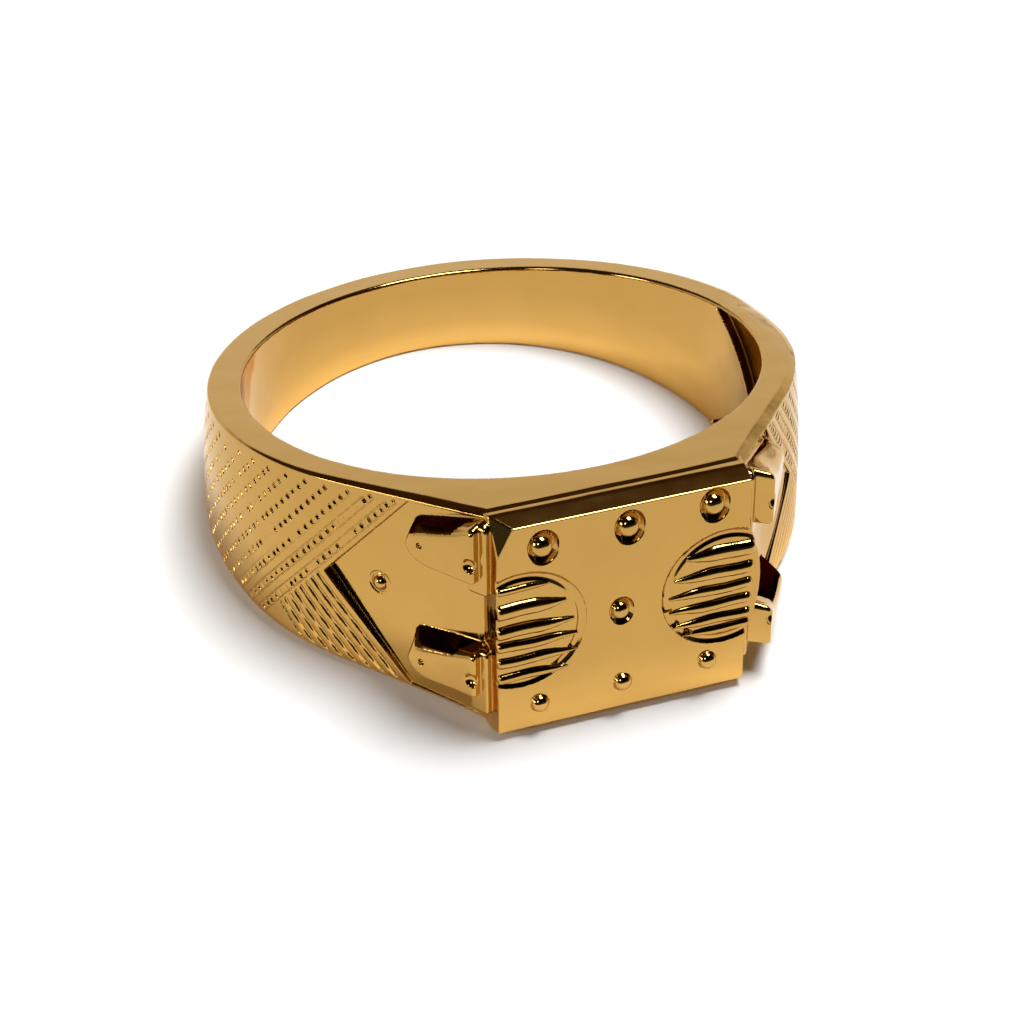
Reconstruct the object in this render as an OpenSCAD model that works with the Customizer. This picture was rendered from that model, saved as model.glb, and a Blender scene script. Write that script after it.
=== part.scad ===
// Square-headed band ring, one casting.
// Millimetres. In the modules the bore axis is z and the head faces -y; the last one lays the ring down.

/* [Band] */
// finger hole radius
bore_r = 9.5; // [7.5:0.05:12]
// outside radius of the band
band_r = 10.75; // [8.5:0.05:14]
// half of the band's height on the bore axis
half_height = 2.9; // [1.5:0.05:5]
// slope of each rim, narrowing from the head to the back
taper = 7.3; // [0:0.1:12]
// how much wider the band's radius is at the lower rim
flare = 0.4; // [0:0.01:0.8]

/* [Head] */
// half width of the rim where it meets the head
corner_x = 4.6; // [3:0.05:7]
// distance of the rim's front edge from the bore axis
corner_y = 11.35; // [9.5:0.05:16]
// distance of the front plate from the bore axis
plate_y = 12.21; // [10:0.05:18]
// half width of the front plate
plate_x = 4.54; // [3:0.05:7]
// half height of the front plate
plate_z = 4.12; // [2:0.05:6]
// width of the flat cut on the plate's upper left corner
corner_cut_x = 0.56; // [0.1:0.02:1]
// depth of that cut
corner_cut_y = 0.62; // [0.1:0.02:1]
// height of that cut
corner_cut_z = 1.1; // [0.2:0.05:2]

/* [Side panels] */
// distance of the sunk panel floor from the bore axis
panel_r = 10.3; // [9.9:0.01:11]
// angle of the panel floor seen along the bore
panel_angle = 54.6; // [40:0.1:70]
// length of the panel from the head to its point
panel_length = 6.35; // [3:0.05:9]
// slope of the panel's pointed end, height over length
panel_slope = 1.13; // [0.5:0.01:2]
// lip left between the panel and the rim
panel_lip = 0.18; // [0.05:0.01:0.6]
// place of the rivet along the panel
panel_rivet_s = 4.31; // [2:0.01:6]

/* [Lugs] */
// height of a lug above the panel floor
lug_lift = 0.8; // [0.2:0.05:1.5]
// length of a lug along the panel
lug_length = 3.05; // [1:0.05:5]
// height of the step beside the head
lug_step = 0.46; // [0.1:0.01:0.8]
// fall of the lug's upper end along its length
lug_fall = 0.2; // [0:0.01:0.4]
// radius of the dimple near the head
dimple_r = 0.27; // [0.1:0.01:0.4]
// radius of the groove between the panel and the head
channel_r = 0.42; // [0.2:0.01:0.6]

/* [Rivets] */
// radius of a rivet's dome
dome_r = 0.42; // [0.2:0.01:0.8]
// how deep the dome's centre sits under the surface
dome_sink = 0.1; // [0:0.01:0.3]
// radius that the dish round a rivet is curved to
dish_curve = 1.12; // [0.5:0.01:2]
// side rivets as a share of the top ones
small_rivet = 0.72; // [0.5:0.01:1]

/* [Grilles] */
// distance of each grille's centre from the middle
grille_x = 3.68; // [2:0.01:4.5]
// radius of a grille
grille_r = 2.3; // [1:0.01:3]
// width of the grille's raised rim
grille_rim_w = 0.15; // [0.05:0.01:0.4]
// height of that rim
grille_rim_h = 0.08; // [0.02:0.01:0.2]
// depth of the grille's floor
grille_sink = 0.08; // [0.02:0.01:0.3]
// how far the right grille bulges past the plate's edge
grille_bulge = 0.24; // [0:0.01:0.4]

/* [Hollows] */
// radius of the hollow behind each shoulder
hollow_r = 9.85; // [9.5:0.01:10.2]
// first angle of the hollow, from the side towards the head
hollow_from = 4; // [0:0.5:20]
// last angle of the hollow
hollow_to = 44; // [20:0.5:45]
// wall left above and below a hollow
hollow_ledge = 0.3; // [0.1:0.05:1]

/* [Hidden] */
$fn = 96;
far = 40;
slope = tan(taper);

// Rivets on the plate: x, z, share of the full size, depth of the dish
plate_rivets = [
    [-3.0, 3.26, 1, 0.21], [0.06, 3.34, 1, 0.2], [3.12, 3.5, 1, 0.2],
    [-0.16, 0, 0.84, 0.15],
    [-3.04, -3.18, 0.86, 0.06], [-0.02, -3.08, 0.86, 0.06], [3.14, -2.98, 0.86, 0.07]
];
// Lugs on each panel: lower end, upper end at the head, outward fall of the upper end, height of the dimple
lugs_on_panel = [[1.3, 3.66, 0.3, 2.42], [-3.72, -1.06, 0.42, -2.38]];
// Ribs of the left grille: z, radius, inner end
left_ribs = [
    [1.72, 0.12, -2.7], [0.9, 0.3, -2.15], [0.06, 0.25, -1.85],
    [-0.56, 0.2, -1.6], [-1.2, 0.2, -1.8], [-1.84, 0.19, -2.05]
];
// Ribs of the right grille: z, radius, inner end
right_ribs = [
    [1.42, 0.3, 2.3], [0.62, 0.24, 1.85], [-0.06, 0.2, 1.62],
    [-0.68, 0.2, 1.6], [-1.28, 0.19, 1.8], [-1.74, 0.16, 2.2]
];

// Half of the height of the ring's envelope at a given y
function rim(y) = half_height - slope * y;

// Tangent point of the shoulder on the band
function reach() = sqrt(corner_x * corner_x + corner_y * corner_y);
function tangent_angle() = atan2(corner_y, corner_x) - acos(band_r / reach());

// Start of the panel beside the rim's corner, along its floor from the point nearest to the bore axis
panel_start = 4.62 * cos(panel_angle) - 11.28 * sin(panel_angle);

module shoulders() {
    t = tangent_angle();
    polygon([
        [band_r * cos(t), -band_r * sin(t)],
        [corner_x, -corner_y],
        [-corner_x, -corner_y],
        [-band_r * cos(t), -band_r * sin(t)],
        [0, 0]
    ]);
}

module side_view() {
    back = band_r + 1;
    polygon([
        [back, rim(back)], [-corner_y, rim(-corner_y)], [-plate_y, plate_z],
        [-plate_y, -plate_z], [-corner_y, -rim(-corner_y)], [back, -rim(back)]
    ]);
}

module tall() {
    linear_extrude(height = 14, center = true) children();
}

// Keeps what lies between the two rims and behind the plate and its bevels
module between_rims() {
    intersection() {
        union() children();
        rotate([0, 0, 90]) rotate([90, 0, 0]) linear_extrude(height = 30, center = true) side_view();
    }
}

// The band's outside, widening downward
module flared_band() {
    h = 14;
    step = flare * h / (4 * half_height);
    cylinder(h = h, r1 = band_r + 0.5 * flare + step, r2 = band_r + 0.5 * flare - step, center = true);
}

module head_block() {
    between_rims() tall() polygon([
        [plate_x, -plate_y], [corner_x, -corner_y], [3, -10],
        [-3, -10], [-corner_x, -corner_y], [-plate_x, -plate_y]
    ]);
}

// Puts a child drawn as x = along the panel, y = bore direction, z = outward onto the right panel
module on_panel() {
    rotate([0, 0, panel_angle]) translate([panel_start, -panel_r, 0]) rotate([90, 0, 0]) children();
}

module both_sides() {
    children();
    mirror([1, 0, 0]) children();
}

module panel_sunk() {
    lip0 = rim(-11.28) - panel_lip;
    fall = slope * sin(panel_angle);
    s1 = (panel_slope * panel_length - lip0) / (panel_slope - fall);
    z1 = lip0 - fall * s1;
    zf = lip0 + fall * 0.6;
    on_panel() linear_extrude(height = 2) polygon([
        [panel_length, 0], [s1, z1], [-0.6, zf], [-0.6, -zf], [s1, -z1]
    ]);
}

// Groove along the head block, where the panel meets it
module channel() {
    on_panel() translate([-0.12, 0, 0.25]) rotate([90, 0, 0]) cylinder(h = 6.8, r = channel_r, center = true);
}

// One flat facet across the plate's upper left corner
module corner_cut() {
    a = [-plate_x, corner_cut_y - plate_y, plate_z];
    b = [corner_cut_x - plate_x, -plate_y, plate_z];
    c = [-plate_x, -plate_y, plate_z - corner_cut_z];
    n = cross(b - a, c - a);
    k = n / norm(n) * (n[0] < 0 ? 1 : -1);
    translate(a) rotate([0, acos(k[2]), atan2(k[1], k[0])]) translate([-3, -3, 0]) cube([6, 6, 3]);
}

module lug_plan() {
    polygon([
        [-0.36, -0.3], [-0.36, lug_step], [-0.05, lug_step], [-0.03, lug_lift],
        [0.57 * lug_length, lug_lift], [0.85 * lug_length, 0.56 * lug_lift],
        [0.97 * lug_length, 0.2 * lug_lift], [lug_length, -0.3]
    ]);
}

// One lug: its plan is drawn along the bore, then cut by its upper end's fall along the panel and outward
module lug(low, high, lean) {
    rotate([0, 0, panel_angle]) translate([panel_start, -panel_r, 0]) intersection() {
        translate([0, 0, low - 0.2]) linear_extrude(height = 5) mirror([0, 1, 0]) lug_plan();
        rotate([90, 0, 0]) linear_extrude(height = 4, center = true) polygon([
            [-1, low - 1], [-1, high + lug_fall], [lug_length + 1, high - lug_fall * (lug_length + 1)],
            [lug_length + 1, low - 1]
        ]);
        rotate([90, 0, -90]) linear_extrude(height = 12, center = true) polygon([
            [-0.5, low - 0.18], [-0.5, high + 0.5 * lean], [1.5, high - 1.5 * lean], [1.5, low + 0.54]
        ]);
    }
}

module lugs() {
    for (row = lugs_on_panel) {
        difference() {
            lug(row[0], row[1], row[2]);
            on_panel() translate([0.1, row[3], lug_lift + 0.06]) sphere(r = dimple_r);
        }
    }
}

module dish(size, depth) {
    big = dish_curve * size;
    translate([0, 0, big - depth]) sphere(r = big);
}

module dome(size) {
    translate([0, 0, -dome_sink * size]) sphere(r = dome_r * size);
}

// Puts a child drawn with z outward at x, z on the plate
module on_plate(x, z) {
    translate([x, -plate_y, z]) rotate([90, 0, 0]) children();
}

module plate_dishes() {
    for (r = plate_rivets) on_plate(r[0], r[1]) dish(r[2], r[3]);
}

module plate_domes() {
    for (r = plate_rivets) on_plate(r[0], r[1]) dome(r[2]);
}

module panel_dish() {
    on_panel() translate([panel_rivet_s, 0, 0]) dish(small_rivet, 0.06);
}

module panel_dome() {
    on_panel() translate([panel_rivet_s, 0, 0]) dome(small_rivet);
}

// A pointed rib from the plate's edge to its inner end
module rib(z, r, inner, outer) {
    dir = inner > outer ? 1 : -1;
    tip = 3 * r;
    body = abs(inner - outer) - tip;
    translate([outer, -plate_y, z]) rotate([0, dir * 90, 0]) {
        cylinder(h = body, r = r);
        translate([0, 0, body]) cylinder(h = tip, r1 = r, r2 = 0.25 * r);
    }
}

module grille_rim(x) {
    intersection() {
        on_plate(x, 0) difference() {
            translate([0, 0, -0.3]) cylinder(h = 0.3 + grille_rim_h, r = grille_r);
            translate([0, 0, -1]) cylinder(h = 2, r = grille_r - grille_rim_w);
        }
        translate([-plate_x, -far, -far / 2]) cube([2 * plate_x, 2 * far, far]);
    }
}

// The right grille's disc, whose edge stands out past the plate in a long arc
module grille_edge() {
    arc = (grille_r * grille_r + grille_bulge * grille_bulge) / (2 * grille_bulge);
    intersection() {
        on_plate(grille_x, 0) translate([0, 0, -0.7]) cylinder(h = 0.7, r = grille_r);
        on_plate(plate_x + grille_bulge - arc, 0) translate([0, 0, -1]) cylinder(h = 2, r = arc);
        translate([4, -plate_y - 1, -3]) cube([2, 3, 6]);
    }
}

module grille_floor(x) {
    on_plate(x, 0) translate([0, 0, -grille_sink]) cylinder(h = 1, r = grille_r - grille_rim_w);
}

module grilles() {
    grille_rim(-grille_x);
    grille_rim(grille_x);
    for (r = left_ribs) rib(r[0], r[1], r[2], -plate_x + 0.04);
    for (r = right_ribs) rib(r[0], r[1], r[2], plate_x + 0.16);
}

module hollow() {
    ledge = half_height - hollow_ledge;
    intersection() {
        cylinder(h = 12, r = hollow_r, center = true);
        linear_extrude(height = 12, center = true) polygon([
            [0, 0],
            [14 * cos(hollow_from), -14 * sin(hollow_from)],
            [14 * cos(hollow_to), -14 * sin(hollow_to)]
        ]);
        rotate([0, 0, 90]) rotate([90, 0, 0]) linear_extrude(height = 30, center = true) polygon([
            [12, ledge - slope * 12], [-12, ledge + slope * 12],
            [-12, -ledge - slope * 12], [12, -ledge + slope * 12]
        ]);
    }
}

module casting() {
    difference() {
        union() {
            difference() {
                between_rims() {
                    flared_band();
                    tall() shoulders();
                }
                both_sides() panel_sunk();
                both_sides() channel();
            }
            head_block();
            grille_edge();
        }
        cylinder(h = 16, r = bore_r, center = true);
        corner_cut();
        both_sides() hollow();
        both_sides() panel_dish();
        plate_dishes();
        grille_floor(-grille_x);
        grille_floor(grille_x);
    }
    both_sides() lugs();
    both_sides() panel_dome();
    plate_domes();
    grilles();
}

// Lays the casting on its lower rim, with the head towards -y
module ring() {
    lay_y = 0.5521;
    color([0.83, 0.62, 0.25])
    translate([0, lay_y, 0])
    rotate([-taper, 0, 0])
    translate([0, 0, half_height])
    casting();
}

ring();
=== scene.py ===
"""Square-headed band ring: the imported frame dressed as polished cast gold.

The visible metal is one skin, worked out as a distance field in the ring's own millimetres and meshed here.
In that field the bore's axis is z and the head faces -y. LAY puts the ring on its lower rim in the row frame.
"""
import math

import bpy
import numpy as np
from mathutils import Matrix, Vector


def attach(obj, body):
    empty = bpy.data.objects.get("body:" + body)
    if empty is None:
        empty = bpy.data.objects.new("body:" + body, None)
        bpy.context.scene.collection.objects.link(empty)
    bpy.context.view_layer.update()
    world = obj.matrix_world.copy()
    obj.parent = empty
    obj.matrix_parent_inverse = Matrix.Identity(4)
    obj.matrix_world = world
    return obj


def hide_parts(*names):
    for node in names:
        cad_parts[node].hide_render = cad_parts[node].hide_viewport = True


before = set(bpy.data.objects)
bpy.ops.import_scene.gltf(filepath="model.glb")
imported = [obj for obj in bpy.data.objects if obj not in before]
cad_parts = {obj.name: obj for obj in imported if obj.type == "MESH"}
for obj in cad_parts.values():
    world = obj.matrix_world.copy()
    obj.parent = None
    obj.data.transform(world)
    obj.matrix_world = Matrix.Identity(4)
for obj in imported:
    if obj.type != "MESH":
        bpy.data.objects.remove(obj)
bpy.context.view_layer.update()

# Sizes of the casting, in millimetres and degrees
BORE_R = 9.5
BORE_EDGE = 0.14
BAND_R = 10.75
HALF_HEIGHT = 2.9
TAPER = math.radians(7.3)
CORNER_X = 4.6
CORNER_Y = 11.35
PLATE_Y = 12.21
PLATE_X = 4.54
PLATE_Z = 4.12
CUT_X = 0.56
CUT_Y = 0.62
CUT_Z = 1.1
HEAD_SPLAY = 0.08
HEAD_DROP = 0.05
PANEL_R = 10.3
PANEL_ANGLE = math.radians(54.6)
PANEL_CORNER_X = 4.62
PANEL_CORNER_Y = 11.28
PANEL_LENGTH = 6.35
PANEL_SLOPE = 1.13
PANEL_LIP = 0.18
UPPER_BORDER = 0.05
LOWER_BORDER = 0.14
PANEL_BOW = 0.006
PANEL_LEAN = 0.12
RIGHT_PANEL_RISE = 0.26
PANEL_RIVET_S = 4.31
COLLAR_R = 0.4
DOME_R = 0.3
DOME_SINK = 0.1
CHANNEL_S = 0.12
CHANNEL_N = 0.25
CHANNEL_R = 0.42
CHANNEL_Z = 3.4
GRILLE_X = 3.68
GRILLE_R = 2.3
LEFT_BULGE = 0.03
RIGHT_BULGE = 0.5
GRILLE_DEPTH = 0.7
GRILLE_SUNK = 0.03
GROOVE_INSET = 0.16
GROOVE_HALF_WIDTH = 0.15
GROOVE_DEPTH = 0.11
BUTTON_R = 0.3
BUTTON_FLARE = 0.33
BUTTON_HEIGHT = 0.31
BUTTON_EDGE = 0.26
DEEP_DISH_R = 0.62
SHALLOW_DISH_R = 1.12
HOLLOW_R = 9.85
HOLLOW_FROM = math.radians(11)
HOLLOW_SLANT = math.radians(22)
HOLLOW_TO = math.radians(44)
HOLLOW_LEDGE = 0.14
HOLLOW_EDGE = 0.08
LAY_Y = 0.5521

# How far the band stands out past its upper rim, where that starts, and how it fades at the back
FLARE = 0.39
SWELL_POWER = 2.6
SWELL_START_Y = -10.5
SWELL_RISE = 7.0
SWELL_FADE = 0.32
SWELL_FADE_Y = 3.0
SWELL_FADE_LENGTH = 6.0

# Facet along the rims' outer edges: direction, depth, and extra depth on the right and toward the head
FACET_OUT = 0.423
FACET_UP = 0.906
FACET_DEPTH = 0.035
FACET_RIGHT = 0.05
FACET_HEAD = 0.085

# Shallow dent in the right of the upper rim
DENT_DEPTH = 0.13
DENT_FROM_Y = -5.0
DENT_TO_Y = 2.8
DENT_R = 9.95

# Widths over which edges are rounded
FINE = 0.02
CRISP = 0.03
SHARP = 0.05
EASED = 0.06
SOFT = 0.1
UPPER_RIM_EDGE = 0.06
LOWER_RIM_EDGE = 0.5

# Cross-hatch: spacing of its rows and lines, distance from the panel's border, depths, and where it ends
HATCH_ROW = 0.6
HATCH_LINE = 0.38
HATCH_MARGIN = 0.35
DASH_DEPTH = 0.1
LINE_DEPTH = 0.06
HATCH_END_Y = 3.2

# Rivets on the plate: x, z, share of the full size, depth of the dish round it
PLATE_RIVETS = (
    (-3.0, 3.26, 1.0, 0.36), (0.06, 3.34, 1.0, 0.36), (3.12, 3.5, 1.0, 0.36),
    (-0.16, 0.0, 0.84, 0.28),
    (-3.04, -3.18, 0.86, 0.06), (-0.02, -3.08, 0.86, 0.06), (3.14, -2.98, 0.86, 0.07),
)
# Grille ribs: z, radius, inner end
LEFT_RIBS = (
    (1.72, 0.12, -2.7), (0.9, 0.3, -2.15), (0.06, 0.25, -1.85),
    (-0.56, 0.2, -1.6), (-1.2, 0.2, -1.8), (-1.84, 0.19, -2.05),
)
RIGHT_RIBS = (
    (1.42, 0.3, 2.3), (0.62, 0.24, 1.85), (-0.06, 0.2, 1.62),
    (-0.68, 0.2, 1.6), (-1.28, 0.19, 1.8), (-1.74, 0.16, 2.2),
)

# Mesh: lattice step, halved in the detailed parts, where the head and back pieces start, and reach of the
# differences that give the normals
STEP = 0.08
HEAD_PIECE_Y = -11.0
BACK_PIECE_Y = 3.0
NORMAL_REACH = 0.021

SLOPE = math.tan(TAPER)
PANEL_START = PANEL_CORNER_X * math.cos(PANEL_ANGLE) - PANEL_CORNER_Y * math.sin(PANEL_ANGLE)


def both(a, b, k):
    """Overlap of two distances with a rounded edge k wide."""
    h = np.maximum(k - np.abs(a - b), 0.0) / k
    return np.maximum(a, b) + h * h * (k * 0.25)


def either(a, b, k):
    """Union of two distances with a soft joint k wide."""
    return -both(-a, -b, k)


def rim(y):
    """Half the height between the rims."""
    return HALF_HEIGHT - SLOPE * y


def plan(ax, y):
    """Distance from the outline seen along the bore, head block left out."""
    reach = math.hypot(CORNER_X, CORNER_Y)
    t = math.atan2(CORNER_Y, CORNER_X) - math.acos(BAND_R / reach)
    round_part = np.hypot(ax, y) - BAND_R
    shoulder = ax * math.cos(t) - y * math.sin(t) - BAND_R
    ahead = -ax * math.sin(t) - y * math.cos(t) > 0.0
    return np.where(ahead, both(shoulder, -y - CORNER_Y, SHARP), round_part)


def soft_step(t):
    """Smooth step from 0 to 1."""
    t = np.clip(t, 0.0, 1.0)
    return t * t * (3.0 - 2.0 * t)


def swell(y, z):
    """How far the band stands out past its upper rim: it bulges and widens downward, less so at the back."""
    down = np.clip((rim(y) - z) / (2.0 * rim(y)), 0.0, 1.0)
    from_head = soft_step((y - SWELL_START_Y) / SWELL_RISE)
    at_back = 1.0 - SWELL_FADE * soft_step((y - SWELL_FADE_Y) / SWELL_FADE_LENGTH)
    return FLARE * (1.0 - (1.0 - down) ** SWELL_POWER) * from_head * at_back


def rims(y, z):
    """Distance above the sloping rims."""
    return (np.abs(z) - rim(y)) * math.cos(TAPER)


def head_block(x, y, z):
    """Distance from the block that carries the plate: bevels above and below, upper left corner cut off."""
    side = np.abs(x) - PLATE_X + HEAD_SPLAY * (-y - PLATE_Y)
    front = -y - PLATE_Y
    block = both(side, front, EASED)
    drop = rim(-CORNER_Y) - PLATE_Z
    run = PLATE_Y - CORNER_Y
    length = math.hypot(drop, run)
    bevel = ((-y - CORNER_Y) * drop + (np.abs(z) - rim(-CORNER_Y)) * run) / length
    block = both(both(block, bevel, FINE), rims(y, z) + HEAD_DROP, SHARP)
    a = np.array([PLATE_X, CUT_Y - PLATE_Y, PLATE_Z])
    b = np.array([PLATE_X - CUT_X, -PLATE_Y, PLATE_Z])
    c = np.array([PLATE_X, -PLATE_Y, PLATE_Z - CUT_Z])
    n = np.cross(b - a, c - a)
    n = n / np.linalg.norm(n) * (1 if n[0] > 0 else -1)
    cut = (-x - a[0]) * n[0] + (y - a[1]) * n[1] + (z - a[2]) * n[2]
    return both(block, cut, SHARP)


def panel_frame(ax, y):
    """Along the panel from the head, and out from its floor."""
    s = ax * math.cos(PANEL_ANGLE) + y * math.sin(PANEL_ANGLE) - PANEL_START
    n = ax * math.sin(PANEL_ANGLE) - y * math.cos(PANEL_ANGLE) - PANEL_R
    return s, n


def rim_along(s):
    """Rim height beside the panel."""
    return rim(-PANEL_CORNER_Y) - SLOPE * math.sin(PANEL_ANGLE) * s


def panel_pocket(s, n, z):
    """Distance from the space sunk behind the panel's border."""
    norm = math.hypot(1.0, PANEL_SLOPE)
    point = (np.abs(z) + PANEL_SLOPE * (s - PANEL_LENGTH)) / norm
    border = np.abs(z) - (rim_along(s) - PANEL_LIP - np.where(z < 0.0, LOWER_BORDER, UPPER_BORDER))
    floor_bow = PANEL_BOW * np.clip(s, 0.0, PANEL_LENGTH) ** 2
    return both(both(point, border, CRISP), floor_bow - n, SHARP)


# Lugs of each side panel, upper and lower: top at the head with its fall along the panel and outward,
# height over the floor, end along the panel, foot, toe of the step beside the head, dimple and pit
LEFT_LUGS = (
    {"top": 4.12, "fall": 0.29, "lean": 0.08, "curl": 0.08, "lift": 0.8, "thin": 0.02, "end": 2.85,
     "foot": 1.9, "toe": 1.3, "dimple": 2.64, "pit": 2.64},
    {"top": -0.9, "fall": 0.06, "lean": 0.1, "curl": 0.18, "lift": 0.8, "thin": 0.02, "end": 2.85,
     "foot": -2.75, "toe": -3.6, "dimple": -2.05, "pit": -2.1},
)
RIGHT_LUGS = (
    {"top": 4.08, "fall": 0.3, "lean": 0.1, "curl": 0.05, "lift": 1.1, "thin": 0.08, "end": 3.7,
     "foot": 1.9, "toe": 1.3, "dimple": 2.8, "pit": 2.5},
    {"top": -1.35, "fall": 0.1, "lean": 0.1, "curl": 0.25, "lift": 1.25, "thin": 0.1, "end": 3.6,
     "foot": -3.1, "toe": -3.6, "dimple": -2.0, "pit": -2.1},
)
LUG_EDGE = -0.04
LUG_DRAFT = 0.1
LUG_STEP = 0.46
LUG_STEP_EDGE = -0.36
LUG_CORNER = 1.1
LUG_FACE_EDGE = 0.14
LUG_TOP_EDGE = 0.3
LUG_TOP_LEAN = 0.9
LUG_SAG = 0.16
DIMPLE_S = 0.1
DIMPLE_R = 0.27
PIT_S = 2.17
PIT_R = 0.1


def lug_top(s, n, row):
    """Height of a lug's top."""
    back = np.clip(s, 0.0, 3.2)
    sag = LUG_SAG * np.sin(1.1 * back)
    return row["top"] - row["fall"] * back - (row["lean"] + row["curl"] * back + sag) * np.clip(n, -0.2, 1.1)


def lug(s, n, z, row):
    """One block: a flat face, a rounded far end, a leaning top, and a step beside the head."""
    face = n - row["lift"] + row["thin"] * np.clip(s, 0.0, 4.0)
    front = LUG_EDGE - s - LUG_DRAFT * (row["lift"] - n)
    corner = both(s - row["end"], row["foot"] - z, LUG_CORNER)
    round_end = 0.1 + 0.8 * soft_step((z - row["foot"] - 0.5) / 0.8)
    body = both(both(face, front, LUG_FACE_EDGE), corner, round_end)
    step = both(both(n - LUG_STEP, LUG_STEP_EDGE - s, SOFT), row["toe"] - z, 0.2)
    body = np.minimum(body, both(step, s - 0.4, SOFT))
    body = both(body, (z - lug_top(s, n, row)) * LUG_TOP_LEAN, LUG_TOP_EDGE)
    body = both(body, np.abs(z) - rim_along(s) + 0.14, SOFT)
    out = n - row["lift"]
    dimple = np.sqrt((s - DIMPLE_S) ** 2 + (out - 0.06) ** 2 + (z - row["dimple"]) ** 2) - DIMPLE_R
    body = both(body, -dimple, EASED)
    pit = np.sqrt((s - PIT_S) ** 2 + (out + 0.08) ** 2 + (z - row["pit"]) ** 2) - PIT_R
    return both(body, -pit, CRISP)


def dish(u, v, out, size, depth):
    """Hollow round a rivet: deep ones are oval with steep walls, shallow ones are round."""
    if depth < 0.1:
        big = SHALLOW_DISH_R * size
        return np.sqrt(u * u + v * v + (out - big + depth) ** 2) - big
    big = DEEP_DISH_R * size
    across = u - 0.1 * size
    down = (v + 0.1 * size) / 1.2
    return np.sqrt(across ** 2 + down ** 2 + (out - big + depth) ** 2) - big


def button(u, v, out, size):
    """Rivet head: a stubby cone with a flat top and a rounded edge."""
    side = (np.hypot(u, v) - (BUTTON_R + BUTTON_FLARE * (BUTTON_HEIGHT - out / size)) * size) * 0.95
    return both(side, out - BUTTON_HEIGHT * size, BUTTON_EDGE * size)


def rib(x, z, out, row, outer):
    """A low rounded bar from the plate's edge, narrowing to a point."""
    height, r, inner = row
    t = np.clip((x - outer) / (inner - outer), 0.0, 1.0)
    along = x - (outer + t * (inner - outer))
    thin = r * (1.0 - 0.8 * np.clip((t - 0.55) / 0.45, 0.0, 1.0) ** 1.4)
    wave = 0.02 * np.sin(3.1 * x + 7.0 * height)
    return np.sqrt(along ** 2 + (z - height - wave) ** 2 + (out + 0.44 * thin) ** 2) - 1.08 * thin


def grille(x, y, z, d, centre, rows, bulge):
    """A sunk round panel with a soft border band and ribs across it, cut into or added to d."""
    out = -y - PLATE_Y
    rad = np.hypot(x - centre, z)
    arc = (GRILLE_R ** 2 + bulge ** 2) / (2.0 * bulge)
    edge = np.hypot(np.abs(x) - (PLATE_X + bulge - arc), z) - arc
    disc = both(both(rad - GRILLE_R, edge, SOFT), np.maximum(out + 0.02, -out - GRILLE_DEPTH), 0.12)
    d = either(d, disc, EASED)
    sunk = both(rad - GRILLE_R, -out - GRILLE_SUNK, CRISP)
    d = both(d, -sunk, CRISP)
    groove = both(np.abs(rad - (GRILLE_R - GROOVE_INSET)) - GROOVE_HALF_WIDTH, -out - GROOVE_DEPTH, 0.16)
    d = both(d, -groove, EASED)
    side = math.copysign(1.0, centre)
    for row in rows:
        bar = rib(x, z, out, row, side * (PLATE_X - 0.02))
        d = either(d, both(bar, edge - 0.01, 0.16), 0.04)
    return d


def plate_relief(x, y, z, d):
    """The plate's rivets in their dishes and its two grilles, cut into and added to d."""
    out = -y - PLATE_Y
    for px, pz, size, depth in PLATE_RIVETS:
        d = both(d, -dish(x - px, z - pz, out, size, depth), 0.04)
        d = either(d, button(x - px, z - pz, out, size), 0.03)
    d = grille(x, y, z, d, -GRILLE_X, LEFT_RIBS, LEFT_BULGE)
    d = grille(x, y, z, d, GRILLE_X, RIGHT_RIBS, RIGHT_BULGE)
    return d


def hollow(ax, y, z):
    """Distance from the hollow behind each shoulder."""
    rad = np.hypot(ax, y)
    start = HOLLOW_FROM - HOLLOW_SLANT * np.clip(np.abs(z) / rim(y), 0.0, 1.0)
    wedge_a = ax * np.sin(start) + y * np.cos(start)
    wedge_b = -(ax * math.sin(HOLLOW_TO) + y * math.cos(HOLLOW_TO))
    height = np.abs(z) - (rim(y) - HOLLOW_LEDGE)
    d = both(rad - HOLLOW_R, wedge_a, SOFT)
    d = both(d, wedge_b, SOFT)
    return both(d, height, HOLLOW_EDGE)


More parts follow.
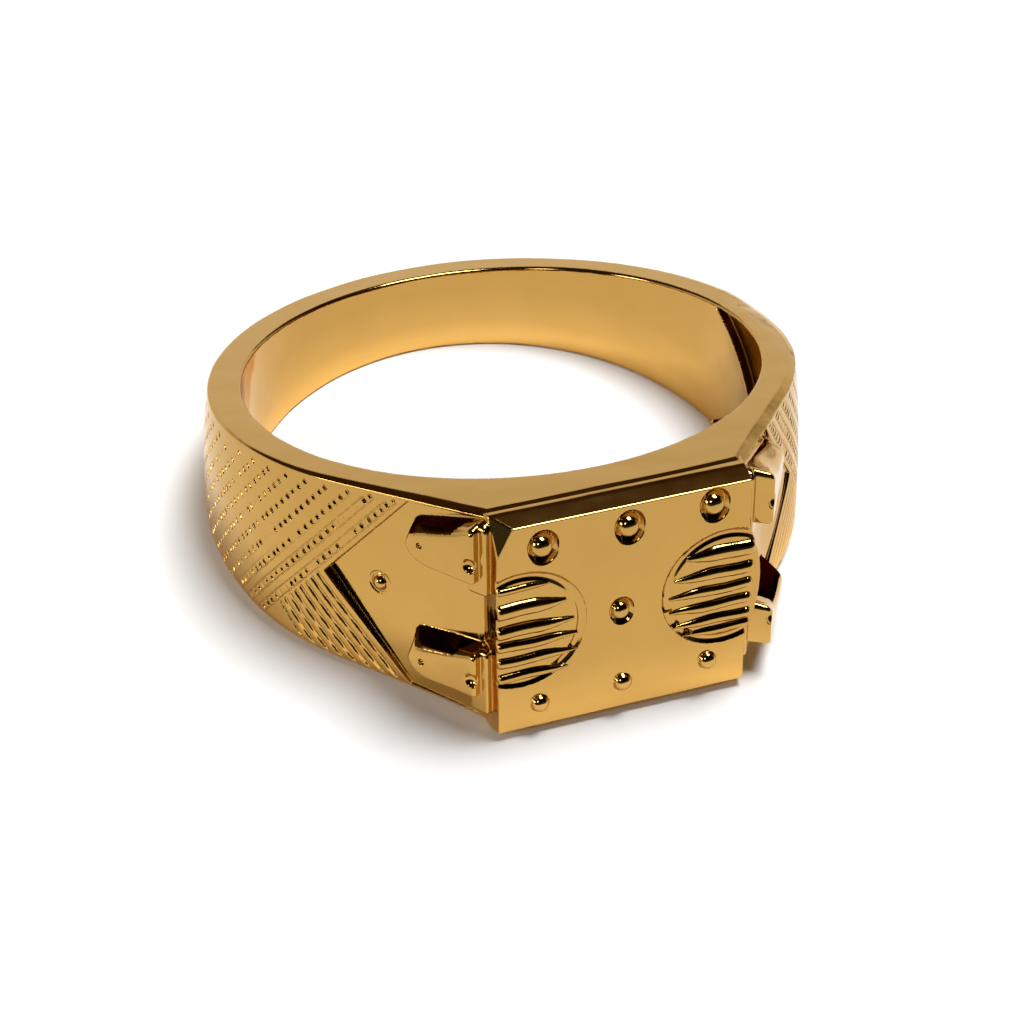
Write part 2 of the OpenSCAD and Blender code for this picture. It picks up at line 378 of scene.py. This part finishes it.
def hatch(ax, y, z):
    """Depth of the cross-hatch cut into the band behind the panel's point."""
    turn = np.arctan2(y, ax) + 0.5 * math.pi - PANEL_ANGLE
    flat = ax * math.cos(PANEL_ANGLE) + y * math.sin(PANEL_ANGLE)
    s = np.where(turn < 0.0, flat, BAND_R * turn) - PANEL_START - PANEL_LENGTH
    norm = math.hypot(1.0, PANEL_SLOPE)
    u = (z + PANEL_SLOPE * s) / norm
    w = (-z + PANEL_SLOPE * s) / norm
    row = (u - HATCH_MARGIN) / HATCH_ROW
    line = (w - HATCH_MARGIN) / HATCH_LINE
    near_row = np.round(row)
    near_line = np.round(line)
    chance = np.modf(np.abs(np.sin(near_row * 12.9898 + near_line * 78.233)) * 43758.5453)[0]
    shift = 0.3 * (np.modf(chance * 37.0)[0] - 0.5)
    across_row = np.abs(row - near_row) * HATCH_ROW
    across_line = np.abs(line - near_line - shift) * HATCH_LINE
    pit = np.clip((0.105 - across_row) / 0.045, 0.0, 1.0) * np.clip((0.07 - across_line) / 0.04, 0.0, 1.0)
    pit = pit * np.where(chance > 0.1, 0.5 + 0.6 * chance, 0.15)
    groove = 0.4 * np.exp(-((across_row - 0.15) / 0.028) ** 2) * np.clip((2.4 - u) / 1.2, 0.0, 1.0)
    dashes = np.maximum(pit, groove) * (near_row >= 0)
    broken = 0.85 + 0.15 * np.sin(8.0 * u + 2.1 * near_line)
    lines = np.clip((0.11 - np.abs(line - near_line) * HATCH_LINE) / 0.09, 0.0, 1.0) * broken
    lines = lines * (near_line >= 0) * (u < 0.1) * (w < 3.0)
    edge = np.clip((rim(y) - np.abs(z) - 0.22) / 0.2, 0.0, 1.0)
    back = np.clip((HATCH_END_Y - y) / 1.5, 0.0, 1.0)
    return (DASH_DEPTH * dashes + LINE_DEPTH * lines) * edge * back


def in_hatch(x, y, z):
    """Whether points of the outer skin lie where the hatch is."""
    ax = np.abs(x)
    s = panel_frame(ax, y)[0]
    beyond = np.abs(z) + PANEL_SLOPE * (s - PANEL_LENGTH) > 0.1
    along = (y > -8.8) & (y < HATCH_END_Y)
    return (np.hypot(ax, y) > 10.4) & along & (np.abs(z) < rim(y) - 0.16) & beyond


def waviness(x, y, z):
    """Slight unevenness of a hand-finished casting."""
    broad = np.sin(1.9 * x + 1.3 * z) * np.sin(1.6 * z - 0.7 * y)
    return 0.004 * (1.6 + broad + 0.6 * np.sin(3.3 * y + 2.1 * z + x))


def dent(x, y, z, rad):
    """Depth of the shallow dent in the upper rim's right edge."""
    along = np.clip((DENT_TO_Y - y) / 1.8, 0.0, 1.0) * np.clip((y - DENT_FROM_Y) / 5.0, 0.0, 1.0)
    return DENT_DEPTH * along * soft_step((rad - DENT_R) / 0.8) * ((x > 0.0) & (z > 0.0))


def band(x, y, z, rad):
    """Distance from the band and shoulders between the rims, with a narrow facet along the outer edges."""
    outline = plan(np.abs(x), y) - swell(y, z)
    height = rims(y, z) + dent(x, y, z, rad)
    right = FACET_RIGHT * soft_step((x - 2.0) / 4.0)
    ahead = FACET_HEAD * soft_step((-3.0 - y) / 8.0)
    facet = outline * FACET_OUT + height * FACET_UP + FACET_DEPTH + right + ahead
    return both(both(outline, height, np.where(z < 0.0, LOWER_RIM_EDGE, UPPER_RIM_EDGE)), facet, CRISP)


def above_floor(x, s, n, z):
    """Distance out from a side panel's floor, which leans out low down and, on the right, at its point."""
    n = n - PANEL_LEAN * soft_step((1.5 - z) / 4.0) * soft_step((s - 0.3) / 3.0)
    return n - RIGHT_PANEL_RISE * (x > 0.0) * soft_step((s - 3.0) / 3.0)


def channel(s, n, z):
    """Distance from the round groove between a side panel and the head."""
    return both(np.hypot(s + CHANNEL_S, n - CHANNEL_N) - CHANNEL_R, np.abs(z) - CHANNEL_Z, SOFT)


def panel_rivet(s, n, z, d):
    """A low dome inside a fine round groove, added to d."""
    u = s - PANEL_RIVET_S
    level = n - PANEL_BOW * PANEL_RIVET_S ** 2
    collar = np.hypot(np.hypot(u, z) - COLLAR_R, level - 0.03) - 0.06
    d = both(d, -collar, CRISP)
    dome = np.sqrt(u * u + z ** 2 + (level + DOME_SINK) ** 2) - DOME_R
    return either(d, dome, FINE)


def panel_relief(x, s, n, z, d):
    """The side panels' rivets and lugs, added to d."""
    d = panel_rivet(s, n, z, d)
    for side, rows in ((-1, LEFT_LUGS), (1, RIGHT_LUGS)):
        m = np.flatnonzero(side * x > 0.0)
        for row in rows:
            d[m] = either(d[m], lug(s[m], n[m], z[m], row), SHARP)
    return d


def casting(x, y, z):
    """Distance from the whole casting's skin, in millimetres. Each form is worked out only near its place."""
    ax = np.abs(x)
    rad = np.hypot(ax, y)
    d = band(x, y, z, rad)
    flank = np.flatnonzero((y < -3.0) & (rad > 9.9))
    fx = x[flank]
    fz = z[flank]
    s, n = panel_frame(ax[flank], y[flank])
    n = above_floor(fx, s, n, fz)
    d[flank] = both(d[flank], -panel_pocket(s, n, fz), EASED)
    near = np.flatnonzero((s < 1.2) & (s > -0.8) & (n < 1.0))
    at = flank[near]
    d[at] = both(d[at], -channel(s[near], n[near], fz[near]), SHARP)
    at = np.flatnonzero(y < -9.5)
    d[at] = either(d[at], head_block(x[at], y[at], z[at]), CRISP)
    near = np.flatnonzero((s < 6.2) & (s > -1.0) & (n > -0.9) & (n < 1.4))
    at = flank[near]
    d[at] = panel_relief(fx[near], s[near], n[near], fz[near], d[at])
    at = np.flatnonzero(y < -11.4)
    d[at] = plate_relief(x[at], y[at], z[at], d[at])
    d = both(d, BORE_R - rad, BORE_EDGE)
    at = np.flatnonzero((y < 2.4) & (rad < 10.3))
    d[at] = both(d[at], -hollow(ax[at], y[at], z[at]), EASED)
    at = np.flatnonzero((rad > 10.35) & (y > -9.5) & (d < 0.4))
    d[at] = d[at] + hatch(ax[at], y[at], z[at])
    return d + waviness(x, y, z)


# The skin: surface nets on the distance field, then every vertex drawn onto the exact surface
def filled_lattice(low, counts, step):
    """The field on a lattice, worked out near the skin only and by its sign elsewhere."""
    side = 4
    blocks = [-(-c // side) for c in counts]
    grid = [low[i] + step * side * (np.arange(blocks[i]) + 0.5) - 0.5 * step for i in range(3)]
    bx, by, bz = np.meshgrid(*grid, indexing="ij")
    coarse = casting(bx.ravel(), by.ravel(), bz.ravel())
    reach = 0.87 * side * step * 1.2 + 0.16
    field = np.repeat(np.sign(coarse).astype(np.float32), side ** 3)
    field = field.reshape(-1, side ** 3)
    kept = np.flatnonzero(np.abs(coarse) < reach)
    local = np.stack(np.meshgrid(*[np.arange(side)] * 3, indexing="ij"), -1).reshape(-1, 3)
    for part in np.array_split(kept, max(1, len(kept) // 6000)):
        i, j, k = np.unravel_index(part, blocks)
        px = low[0] + step * (side * i[:, None] + local[:, 0])
        py = low[1] + step * (side * j[:, None] + local[:, 1])
        pz = low[2] + step * (side * k[:, None] + local[:, 2])
        field[part] = casting(px.ravel(), py.ravel(), pz.ravel()).reshape(px.shape)
    field = field.reshape(*blocks, side, side, side).transpose(0, 3, 1, 4, 2, 5)
    field = field.reshape(blocks[0] * side, blocks[1] * side, blocks[2] * side)
    return np.ascontiguousarray(field)


def surface_nets(field, low, step):
    """Vertices and quads of the skin where the field crosses zero."""
    shape = field.shape
    inside = field < 0.0
    cells = []
    points = []
    flips = []
    for axis in range(3):
        a = [slice(None)] * 3
        b = [slice(None)] * 3
        a[axis] = slice(0, -1)
        b[axis] = slice(1, None)
        crossing = inside[tuple(a)] ^ inside[tuple(b)]
        ijk = np.stack(np.nonzero(crossing), -1)
        u, v = [(1, 2), (2, 0), (0, 1)][axis]
        ijk = ijk[(ijk[:, u] > 0) & (ijk[:, v] > 0)]
        head = ijk.copy()
        head[:, axis] += 1
        d0 = field[tuple(ijk.T)]
        d1 = field[tuple(head.T)]
        place = ijk.astype(np.float64)
        place[:, axis] += d0 / (d0 - d1)
        ring_of_cells = []
        for du, dv in ((-1, -1), (0, -1), (0, 0), (-1, 0)):
            cell = ijk.copy()
            cell[:, u] += du
            cell[:, v] += dv
            ring_of_cells.append(np.ravel_multi_index(tuple(cell.T), shape))
        cells.append(np.stack(ring_of_cells, -1))
        points.append(place)
        flips.append(inside[tuple(head.T)])
    cells = np.concatenate(cells)
    points = np.concatenate(points)
    flips = np.concatenate(flips)
    names, index = np.unique(cells.ravel(), return_inverse=True)
    index = index.reshape(cells.shape)
    count = np.bincount(index.ravel(), minlength=len(names))
    verts = np.empty((len(names), 3))
    for axis in range(3):
        total = np.bincount(index.ravel(), np.repeat(points[:, axis], 4), len(names))
        verts[:, axis] = low[axis] + step * total / count
    quads = np.where(flips[:, None], index[:, ::-1], index)
    return verts, quads


def gradient(p, reach):
    """Direction in which the field grows, by central differences."""
    g = np.empty_like(p)
    for axis in range(3):
        a = p.copy()
        b = p.copy()
        a[:, axis] += reach
        b[:, axis] -= reach
        g[:, axis] = casting(*a.T) - casting(*b.T)
    return g / (2.0 * reach)


def drawn_on(verts, reach, passes=3):
    """Vertices moved onto the exact skin, at most reach each time."""
    for _ in range(passes):
        g = gradient(verts, 0.004)
        d = casting(*verts.T)
        move = -(d / np.maximum((g * g).sum(1), 0.2))[:, None] * g
        size = np.linalg.norm(move, axis=1, keepdims=True)
        verts = verts + move * np.minimum(1.0, reach / np.maximum(size, 1e-9))
    return verts


def split_quads(verts, quads, chosen):
    """Each chosen quad becomes four, with the new vertices drawn onto the skin."""
    old = quads[chosen]
    pairs = np.stack([old, np.roll(old, -1, 1)], -1).reshape(-1, 2)
    pairs.sort(1)
    key = pairs[:, 0] * len(verts) + pairs[:, 1]
    names, index = np.unique(key, return_inverse=True)
    ends = np.stack([names // len(verts), names % len(verts)], -1)
    middle = verts[ends].mean(1)
    centre = verts[old].mean(1)
    first = len(verts)
    side = index.reshape(-1, 4) + first
    heart = np.arange(len(old)) + first + len(names)
    verts = np.concatenate([verts, middle, centre])
    small = [np.stack([old[:, c], side[:, c], heart, side[:, c - 1]], -1) for c in range(4)]
    quads = np.concatenate([quads[~chosen]] + small)
    return verts, quads


def detailed(middle):
    """Whether faces, by their middle points, belong to the relief, the hatch or a rim's outer edge."""
    x, y, z = middle.T
    ax = np.abs(x)
    s, n = panel_frame(ax, y)
    panel = (s < PANEL_LENGTH + 0.1) & (n > -0.2) & (y < -3.0) & (np.abs(z) < rim(y) - 0.04)
    panel &= np.abs(z) + PANEL_SLOPE * (s - PANEL_LENGTH) < 0.15
    head = y < -11.2
    rim_edge = (np.abs(z) > rim(y) - 0.15) & (plan(ax, y) - swell(y, z) > -0.18)
    return panel | head | rim_edge | in_hatch(x, y, z)


def skin():
    """The whole casting's vertices, quads and normals."""
    low = (-BAND_R - FLARE - 3 * STEP, -12.7, -4.5)
    high = (BAND_R + FLARE + 3 * STEP, BAND_R + FLARE + 3 * STEP, 4.5)
    counts = [int((high[i] - low[i]) / STEP) + 1 for i in range(3)]
    field = filled_lattice(low, counts, STEP)
    verts, quads = surface_nets(field, low, STEP)
    verts = drawn_on(verts, 0.4 * STEP)
    fine_from = len(verts)
    verts, quads = split_quads(verts, quads, detailed(verts[quads].mean(1)))
    verts[fine_from:] = drawn_on(verts[fine_from:], 0.4 * STEP, 4)
    normals = gradient(verts, NORMAL_REACH)
    normals /= np.maximum(np.linalg.norm(normals, axis=1, keepdims=True), 1e-9)
    return verts, quads, normals


# From the ring's own millimetres to the row frame, in metres
LAY = (
    Matrix.Translation((0.0, LAY_Y / 1000, 0.0))
    @ Matrix.Rotation(-TAPER, 4, "X")
    @ Matrix.Translation((0.0, 0.0, HALF_HEIGHT / 1000))
)


def laid(points):
    """Points of the field moved to the row frame."""
    m = np.array(LAY)
    return points / 1000 @ m[:3, :3].T + m[:3, 3]


def turned(directions):
    """Directions of the field turned to the row frame."""
    return directions @ np.array(LAY)[:3, :3].T


def piece(name, verts, quads, normals, material):
    """One object of the skin, riding on the ring in place of its plain solid."""
    used, index = np.unique(quads.ravel(), return_inverse=True)
    mesh = bpy.data.meshes.new(name)
    mesh.vertices.add(len(used))
    mesh.vertices.foreach_set("co", laid(verts[used]).astype(np.float32).ravel())
    count = len(quads)
    mesh.loops.add(4 * count)
    mesh.loops.foreach_set("vertex_index", index.ravel().astype(np.int32))
    mesh.polygons.add(count)
    mesh.polygons.foreach_set("loop_start", np.arange(0, 4 * count, 4, dtype=np.int32))
    mesh.update(calc_edges=True)
    mesh.validate()
    mesh.polygons.foreach_set("use_smooth", np.ones(len(mesh.polygons), bool))
    mesh.normals_split_custom_set_from_vertices(turned(normals[used]))
    mesh.materials.append(material)
    obj = bpy.data.objects.new(name, mesh)
    bpy.context.scene.collection.objects.link(obj)
    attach(obj, "root")
    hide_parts("ring")
    return obj


def painted_shade_faces(x, y, z, up):
    """Faces of the lugs' tops and of the groove beside the head, which get the painted dark gold: a painted
    dark reflection on the tops and painted shadow in the groove.
    """
    s, n = panel_frame(np.abs(x), y)
    beside = (s > -0.5) & (s < 0.0) & (n > -0.3) & (n < LUG_STEP - 0.06) & (y < -10.0) & (np.abs(z) < 3.8)
    tops = np.zeros(len(x), bool)
    for row, side in ((LEFT_LUGS[0], x < 0), (LEFT_LUGS[1], x < 0), (RIGHT_LUGS[1], x > 0)):
        over = (s > -0.4) & (s < row["end"]) & (n > 0.02) & (n < 1.1) & (up > 0.5)
        tops |= side & over & (np.abs(z - lug_top(s, n, row)) < 0.3)
    return beside | tops


def regions(verts, quads, normals):
    """Names the faces of each piece."""
    middle = verts[quads].mean(1)
    x, y, z = middle.T
    up = normals[quads].mean(1)[:, 2]
    rad = np.hypot(x, y)
    angle = np.arctan2(-y, np.abs(x))
    below_rim = np.abs(z) < rim(y) - HOLLOW_LEDGE + 0.05
    inside_wall = (rad > BORE_R + 0.07) & (rad < HOLLOW_R + 0.05)
    sunk = inside_wall & below_rim & (angle > -0.22) & (angle < HOLLOW_TO + 0.05)
    bore = (rad < BORE_R + 0.1) & ~sunk
    head = (y < HEAD_PIECE_Y) & ~sunk & ~bore
    back = (y > BACK_PIECE_Y) & ~sunk & ~bore
    # Faces painted dark: painted dark reflection on the lugs' tops, painted shadow in the groove beside the
    # head
    dark = painted_shade_faces(x, y, z, up) & ~(sunk | bore | head | back)
    hatched = in_hatch(x, y, z) & ~(sunk | bore | head | back | dark)
    rest = ~(sunk | bore | head | back | hatched | dark)
    return {
        "recess_left": dark & (x < 0),
        "recess_right": dark & (x >= 0),
        "hollow_left": sunk & (x < 0),
        "hollow_right": sunk & (x >= 0),
        "bore_wall": bore,
        "head_left": head & (x < 0),
        "head_right": head & (x >= 0),
        "band_back": back,
        "hatch_left": hatched & (x < 0),
        "hatch_right": hatched & (x >= 0),
        "shoulder_left": rest & (x < 0),
        "shoulder_right": rest & (x >= 0),
    }


# Materials
# Painted light and shade: a grey that paints the gold brighter near the floor and darker with height above
# it: share of the shaded height, grey
PAINTED_HEIGHT_SHADE = ((0.0, 0.95), (0.06, 0.86), (0.13, 0.7), (0.28, 0.59), (0.5, 0.58), (1.0, 0.55))
PAINTED_SHADE_HEIGHT = 0.009


def node(tree, kind, **values):
    n = tree.nodes.new(kind)
    for key, value in values.items():
        if hasattr(n, key):
            setattr(n, key, value)
        else:
            n.inputs[key.replace("_", " ")].default_value = value
    return n


def gold(name, colour, deep, roughness, grain, sheen=(1.0, 0.95, 0.85)):
    """Cast gold: metallic, slightly uneven in tint and polish, with fine pits, and painted brighter near the
    floor and darker with height.
    """
    mat = bpy.data.materials.new(name)
    mat.use_nodes = True
    tree = mat.node_tree
    link = tree.links.new
    shader = tree.nodes["Principled BSDF"]
    shader.inputs["Metallic"].default_value = 1.0
    shader.inputs["Specular Tint"].default_value = (*sheen, 1.0)
    coords = tree.nodes.new("ShaderNodeTexCoord")
    cloud = node(tree, "ShaderNodeTexNoise", Scale=420.0, Detail=3.0, Roughness=0.55)
    link(coords.outputs["Object"], cloud.inputs["Vector"])
    tint = tree.nodes.new("ShaderNodeValToRGB")
    tint.color_ramp.elements[0].position = 0.3
    tint.color_ramp.elements[0].color = (*deep, 1.0)
    tint.color_ramp.elements[1].position = 0.7
    tint.color_ramp.elements[1].color = (*colour, 1.0)
    link(cloud.outputs["Fac"], tint.inputs["Fac"])
    place = tree.nodes.new("ShaderNodeSeparateXYZ")
    link(coords.outputs["Object"], place.inputs["Vector"])
    level = tree.nodes.new("ShaderNodeMapRange")
    level.inputs["From Min"].default_value = 0.0
    level.inputs["From Max"].default_value = PAINTED_SHADE_HEIGHT
    link(place.outputs["Z"], level.inputs["Value"])
    # Painted light and shade: the base colour is multiplied by a grey that is brighter near the floor and
    # darker higher up
    painted_height_light = tree.nodes.new("ShaderNodeValToRGB")
    for _ in PAINTED_HEIGHT_SHADE[2:]:
        painted_height_light.color_ramp.elements.new(0.5)
    for element, (where, grey) in zip(painted_height_light.color_ramp.elements, PAINTED_HEIGHT_SHADE):
        element.position = where
        element.color = (grey, grey, grey, 1.0)
    link(level.outputs["Result"], painted_height_light.inputs["Fac"])
    shade = node(tree, "ShaderNodeVectorMath", operation="MULTIPLY")
    link(tint.outputs["Color"], shade.inputs[0])
    link(painted_height_light.outputs["Color"], shade.inputs[1])
    link(shade.outputs["Vector"], shader.inputs["Base Color"])
    polish = tree.nodes.new("ShaderNodeMapRange")
    polish.inputs["From Min"].default_value = 0.35
    polish.inputs["From Max"].default_value = 0.65
    polish.inputs["To Min"].default_value = roughness * 0.85
    polish.inputs["To Max"].default_value = roughness * 1.2
    link(cloud.outputs["Fac"], polish.inputs["Value"])
    link(polish.outputs["Result"], shader.inputs["Roughness"])
    fine = node(tree, "ShaderNodeTexNoise", Scale=3200.0, Detail=3.0, Roughness=0.6)
    link(coords.outputs["Object"], fine.inputs["Vector"])
    broad = node(tree, "ShaderNodeTexNoise", Scale=550.0, Detail=2.0, Roughness=0.5)
    link(coords.outputs["Object"], broad.inputs["Vector"])
    dents = tree.nodes.new("ShaderNodeBump")
    dents.inputs["Strength"].default_value = 0.5
    dents.inputs["Distance"].default_value = 0.00005
    link(broad.outputs["Fac"], dents.inputs["Height"])
    bump = tree.nodes.new("ShaderNodeBump")
    bump.inputs["Strength"].default_value = grain
    bump.inputs["Distance"].default_value = 0.000008
    link(fine.outputs["Fac"], bump.inputs["Height"])
    link(dents.outputs["Normal"], bump.inputs["Normal"])
    link(bump.outputs["Normal"], shader.inputs["Normal"])
    return mat


polished = gold("polished_gold", (0.92, 0.533, 0.138), (0.873, 0.50, 0.127), 0.10, 0.25)
cast_rough = gold("rough_cast_gold", (0.50, 0.21, 0.045), (0.16, 0.055, 0.01), 0.32, 1.0, (0.6, 0.38, 0.15))
# Painted dark reflection and shadow: near-black gold for the lugs' tops and the groove beside the head
painted_shade_material = gold("painted_shade_gold", (0.11, 0.04, 0.009), (0.04, 0.012, 0.003), 0.18, 1.0, (0.3, 0.16, 0.07))

verts, quads, normals = skin()
MATERIALS = {"hollow": cast_rough, "recess": painted_shade_material}
for name, faces in regions(verts, quads, normals).items():
    material = MATERIALS.get(name.split("_")[0], polished)
    piece(name, verts, quads[faces], normals, material)


# Floor, light and camera
def floor():
    mesh = bpy.data.meshes.new("floor")
    half = 0.6
    mesh.from_pydata(
        [(-half, -half, 0.0), (half, -half, 0.0), (half, half, 0.0), (-half, half, 0.0)], [], [(0, 1, 2, 3)]
    )
    obj = bpy.data.objects.new("floor", mesh)
    bpy.context.scene.collection.objects.link(obj)
    mat = bpy.data.materials.new("white_floor")
    mat.use_nodes = True
    shader = mat.node_tree.nodes["Principled BSDF"]
    shader.inputs["Base Color"].default_value = (0.93, 0.93, 0.93, 1.0)
    shader.inputs["Roughness"].default_value = 0.9
    shader.inputs["Specular IOR Level"].default_value = 0.0
    mesh.materials.append(mat)


def area_light(name, position, size, power, aim=(0.0, 0.0, 0.003)):
    light = bpy.data.lights.new(name, "AREA")
    light.shape = "RECTANGLE"
    light.size, light.size_y = size
    light.energy = power
    obj = bpy.data.objects.new(name, light)
    obj.location = position
    obj.rotation_euler = (Vector(aim) - Vector(position)).to_track_quat("-Z", "Y").to_euler()
    bpy.context.scene.collection.objects.link(obj)
    return obj


def studio_world():
    """Pale backdrop low behind the ring and dark elsewhere, so that the metal has something to show."""
    world = bpy.data.worlds.new("studio")
    bpy.context.scene.world = world
    world.use_nodes = True
    tree = world.node_tree
    link = tree.links.new
    coords = tree.nodes.new("ShaderNodeTexCoord")
    split = tree.nodes.new("ShaderNodeSeparateXYZ")
    link(coords.outputs["Generated"], split.inputs["Vector"])

    def colour_ramp(source, stops):
        ramp_node = tree.nodes.new("ShaderNodeValToRGB")
        elements = ramp_node.color_ramp.elements
        elements[0].position, elements[1].position = stops[0][0], stops[-1][0]
        for place, _ in stops[1:-1]:
            elements.new(place)
        for element, (_, colour) in zip(elements, stops):
            element.color = (*colour, 1.0)
        link(source, ramp_node.inputs["Fac"])
        return ramp_node.outputs["Color"]

    height = colour_ramp(split.outputs["Z"], (
        (0.0, (1.0, 1.0, 1.0)),
        (0.16, (0.98, 0.98, 0.97)),
        (0.27, (0.93, 0.91, 0.87)),
        (0.38, (0.055, 0.028, 0.006)),
        (1.0, (0.05, 0.024, 0.004)),
    ))
    shift = tree.nodes.new("ShaderNodeMath")
    shift.operation = "MULTIPLY_ADD"
    shift.inputs[1].default_value = 0.5
    shift.inputs[2].default_value = 0.5
    link(split.outputs["Y"], shift.inputs[0])
    depth = colour_ramp(shift.outputs["Value"], (
        (0.0, (0.04, 0.04, 0.04)),
        (0.37, (0.05, 0.05, 0.05)),
        (0.54, (0.55, 0.55, 0.55)),
        (0.75, (1.0, 1.0, 1.0)),
        (1.0, (1.0, 1.0, 1.0)),
    ))
    blend = tree.nodes.new("ShaderNodeMix")
    blend.data_type = "RGBA"
    blend.blend_type = "MULTIPLY"
    blend.inputs["Factor"].default_value = 1.0
    link(height, blend.inputs["A"])
    link(depth, blend.inputs["B"])
    background = tree.nodes["Background"]
    link(blend.outputs["Result"], background.inputs["Color"])
    background.inputs["Strength"].default_value = 1.0


floor()
studio_world()
area_light("key", (0.072, 0.024, 0.29), (0.12, 0.12), 1.0)
area_light("left_strip", (-0.285, -0.006, 0.095), (0.08, 0.06), 0.18)
area_light("front_strip", (-0.171, -0.147, 0.2), (0.06, 0.06), 0.1)

bpy.context.scene.view_settings.view_transform = "Standard"


def photo_camera():
    """The photograph's view, found in the ring's own frame: millimetres and degrees."""
    azimuth, elevation, roll = math.radians(-19.85), math.radians(33.434), math.radians(-0.461)
    target = Vector((0.4066, 0.0, -3.7509))
    distance = 99.25
    back = Vector((
        math.sin(azimuth) * math.cos(elevation),
        -math.cos(azimuth) * math.cos(elevation),
        math.sin(elevation),
    ))
    right = (-back).cross(Vector((0.0, 0.0, 1.0))).normalized()
    up = right.cross(-back)
    level = right * math.cos(roll) + up * math.sin(roll)
    lifted = up * math.cos(roll) - right * math.sin(roll)
    place = Matrix.Identity(4)
    for row in range(3):
        place[row][0], place[row][1], place[row][2] = level[row], lifted[row], back[row]
        place[row][3] = (target[row] + back[row] * distance) / 1000
    data = bpy.data.cameras.new("photo_camera")
    data.sensor_width = 36.0
    data.lens = 91.41
    data.clip_start = 0.005
    data.clip_end = 10.0
    obj = bpy.data.objects.new("photo_camera", data)
    obj.matrix_world = LAY @ place
    bpy.context.scene.collection.objects.link(obj)
    bpy.context.scene.camera = obj


photo_camera()
